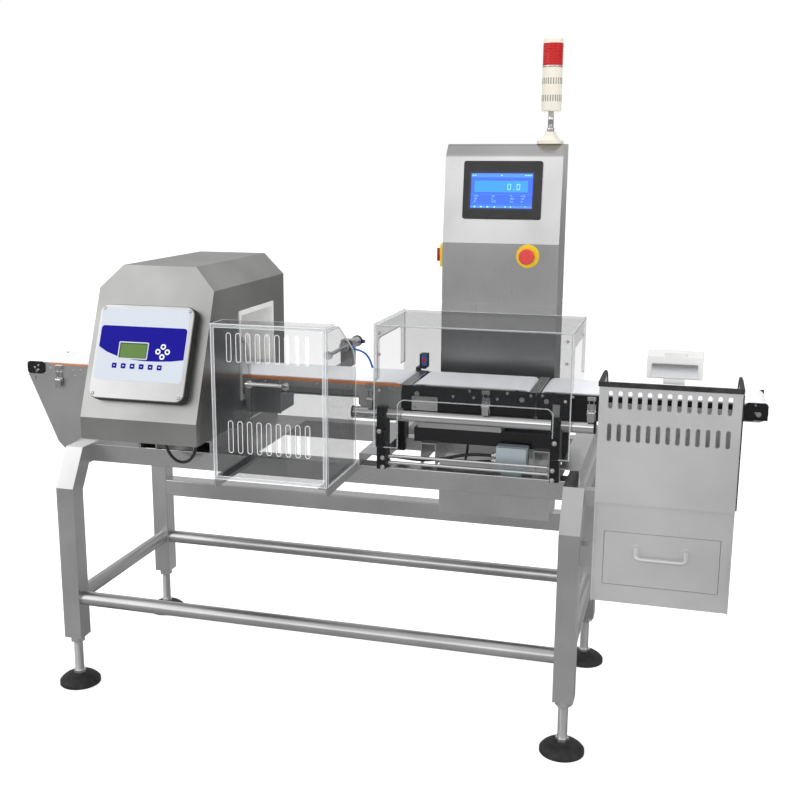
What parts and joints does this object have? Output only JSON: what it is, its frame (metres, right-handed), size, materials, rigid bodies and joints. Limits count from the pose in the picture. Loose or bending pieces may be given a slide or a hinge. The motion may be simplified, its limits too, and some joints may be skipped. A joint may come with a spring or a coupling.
{
  "type": "conveyor metal detector",
  "caption": "Belt metal detector head and clear-hooded checkweigher with two reject bins, a screen column and a signal tower on one tubular stand.",
  "frame": {"origin": "middle of the whole footprint, on the floor", "axes": "+X along the belts in the direction that products travel, +Y to the column at the back"},
  "size_m": [1.9079, 0.8002, 1.72],
  "materials": {
    "stainless": "satin",
    "black_anodised": "satin",
    "bright_steel": "bright",
    "cast_alloy": "satin",
    "white_belt": "matte",
    "white_plastic": "matte",
    "clear_acrylic": "clear and glossy",
    "black_rubber": "matte",
    "black_plastic": "matte",
    "dark_base": "glossy",
    "copper_winding": "satin",
    "yellow_plastic": "glossy",
    "red_plastic": "glossy",
    "beige_plastic": "glossy",
    "blue_grey_paint": "satin",
    "white_paint": "glossy",
    "green_board": "matte",
    "blue_hose": "glossy"
  },
  "bodies": {
    "machine": {"stand_legs": "stainless", "stand_rails": "stainless", "stand_beams": "stainless", "foot_lock_nuts": "bright_steel", "detector_housing": "stainless", "tunnel_liner": "white_plastic", "detector_coils": "copper_winding", "mounting_brackets": "stainless", "control_box": "stainless", "control_lid": "stainless", "electronics": "green_board", "belts": "white_belt", "slider_beds": "stainless", "infeed_frame": "stainless", "weigh_frame": "black_anodised", "outfeed_frame": "black_anodised", "end_fittings": "black_plastic", "belt_motors": "cast_alloy", "carrier_tubes": "stainless", "carrier_clamps": "stainless", "weigh_base": "dark_base", "load_cell": "cast_alloy", "latch_bases": "bright_steel", "steel_bin": "stainless", "rubber_edging": "black_rubber", "weigh_hood": "clear_acrylic", "column_cabinet": "stainless", "operator_screen": "black_plastic", "yellow_bases": "yellow_plastic", "tower_body": "beige_plastic", "tower_lens": "red_plastic", "pusher_cylinder": "cast_alloy", "rejector_housing": "white_paint", "product_sensor": "black_plastic", "junction_box": "blue_grey_paint", "detector_cable": "black_rubber", "sensor_cable": "black_rubber", "drive_cable": "black_rubber", "air_hose": "blue_hose"},
    "foot_front_left": {"foot_front_left": "black_rubber"},
    "foot_front_right": {"foot_front_right": "black_rubber"},
    "foot_rear_left": {"foot_rear_left": "black_rubber"},
    "foot_rear_right": {"foot_rear_right": "black_rubber"},
    "infeed_tail_roller": {"infeed_tail_roller": "stainless"},
    "infeed_drive_roller": {"infeed_drive_roller": "stainless"},
    "weigh_tail_roller": {"weigh_tail_roller": "stainless"},
    "weigh_drive_roller": {"weigh_drive_roller": "stainless"},
    "outfeed_tail_roller": {"outfeed_tail_roller": "stainless"},
    "outfeed_drive_roller": {"outfeed_drive_roller": "stainless"},
    "latch_infeed_left": {"latch_infeed_left": "bright_steel"},
    "latch_infeed_right": {"latch_infeed_right": "bright_steel"},
    "latch_weigh": {"latch_weigh": "bright_steel"},
    "latch_outfeed": {"latch_outfeed": "bright_steel"},
    "clear_bin": {"clear_bin": "clear_acrylic", "clear_bin_handle": "bright_steel"},
    "bin_drawer": {"bin_drawer": "stainless"},
    "pusher_rod": {"pusher_rod": "bright_steel"},
    "rejector_paddle": {"rejector_paddle": "bright_steel"},
    "stop_button": {"stop_button": "red_plastic"},
    "switch_handle": {"switch_handle": "red_plastic"}
  },
  "joints": [
    {"name": "foot_front_left_height", "type": "slide", "parent": "machine", "child": "foot_front_left", "axis": [0, 0, 1], "range_m": [-0.01, 0.015]},
    {"name": "foot_front_right_height", "type": "slide", "parent": "machine", "child": "foot_front_right", "axis": [0, 0, 1], "range_m": [-0.01, 0.015]},
    {"name": "foot_rear_left_height", "type": "slide", "parent": "machine", "child": "foot_rear_left", "axis": [0, 0, 1], "range_m": [-0.01, 0.015]},
    {"name": "foot_rear_right_height", "type": "slide", "parent": "machine", "child": "foot_rear_right", "axis": [0, 0, 1], "range_m": [-0.01, 0.015]},
    {"name": "infeed_tail_roller_spin", "type": "hinge", "parent": "machine", "child": "infeed_tail_roller", "pos_m": [-0.9297, -0.00791, 0.8577], "axis": [0, 1, 0], "continuous": true},
    {"name": "infeed_drive_roller_spin", "type": "hinge", "parent": "machine", "child": "infeed_drive_roller", "pos_m": [0.0737, -0.00791, 0.8577], "axis": [0, 1, 0], "continuous": true},
    {"name": "weigh_tail_roller_spin", "type": "hinge", "parent": "machine", "child": "weigh_tail_roller", "pos_m": [0.1343, -0.00791, 0.8577], "axis": [0, 1, 0], "continuous": true},
    {"name": "weigh_drive_roller_spin", "type": "hinge", "parent": "machine", "child": "weigh_drive_roller", "pos_m": [0.3937, -0.00791, 0.8577], "axis": [0, 1, 0], "continuous": true},
    {"name": "outfeed_tail_roller_spin", "type": "hinge", "parent": "machine", "child": "outfeed_tail_roller", "pos_m": [0.4523, -0.00791, 0.8577], "axis": [0, 1, 0], "continuous": true},
    {"name": "outfeed_drive_roller_spin", "type": "hinge", "parent": "machine", "child": "outfeed_drive_roller", "pos_m": [0.9317, -0.00791, 0.8577], "axis": [0, 1, 0], "continuous": true},
    {"name": "latch_infeed_left_release", "type": "hinge", "parent": "machine", "child": "latch_infeed_left", "pos_m": [-0.86, -0.11591, 0.837], "axis": [-1, 0, 0], "range_deg": [0, 80]},
    {"name": "latch_infeed_right_release", "type": "hinge", "parent": "machine", "child": "latch_infeed_right", "pos_m": [0.015, -0.11391, 0.837], "axis": [-1, 0, 0], "range_deg": [0, 80]},
    {"name": "latch_weigh_release", "type": "hinge", "parent": "machine", "child": "latch_weigh", "pos_m": [0.307, -0.11391, 0.837], "axis": [-1, 0, 0], "range_deg": [0, 80]},
    {"name": "latch_outfeed_release", "type": "hinge", "parent": "machine", "child": "latch_outfeed", "pos_m": [0.559, -0.11391, 0.837], "axis": [-1, 0, 0], "range_deg": [0, 80]},
    {"name": "clear_bin_slide", "type": "slide", "parent": "machine", "child": "clear_bin", "axis": [0, -1, 0], "range_m": [0, 0.25]},
    {"name": "drawer_slide", "type": "slide", "parent": "machine", "child": "bin_drawer", "axis": [0, -1, 0], "range_m": [0, 0.2]},
    {"name": "pusher_stroke", "type": "slide", "parent": "machine", "child": "pusher_rod", "axis": [0, -1, 0], "range_m": [0, 0.1]},
    {"name": "rejector_stroke", "type": "slide", "parent": "machine", "child": "rejector_paddle", "axis": [0, -1, 0], "range_m": [0, 0.09]},
    {"name": "stop_press", "type": "slide", "parent": "machine", "child": "stop_button", "axis": [0, 1, 0], "range_m": [0, 0.005]},
    {"name": "main_switch_turn", "type": "hinge", "parent": "machine", "child": "switch_handle", "pos_m": [0.132, 0.20509, 1.174], "axis": [1, 0, 0], "range_deg": [0, 90]}
  ],
  "couplings": [
    {"joint": "infeed_tail_roller_spin", "follows": "infeed_drive_roller_spin", "ratio": 1},
    {"joint": "weigh_tail_roller_spin", "follows": "weigh_drive_roller_spin", "ratio": 1},
    {"joint": "outfeed_tail_roller_spin", "follows": "outfeed_drive_roller_spin", "ratio": 1}
  ]
}
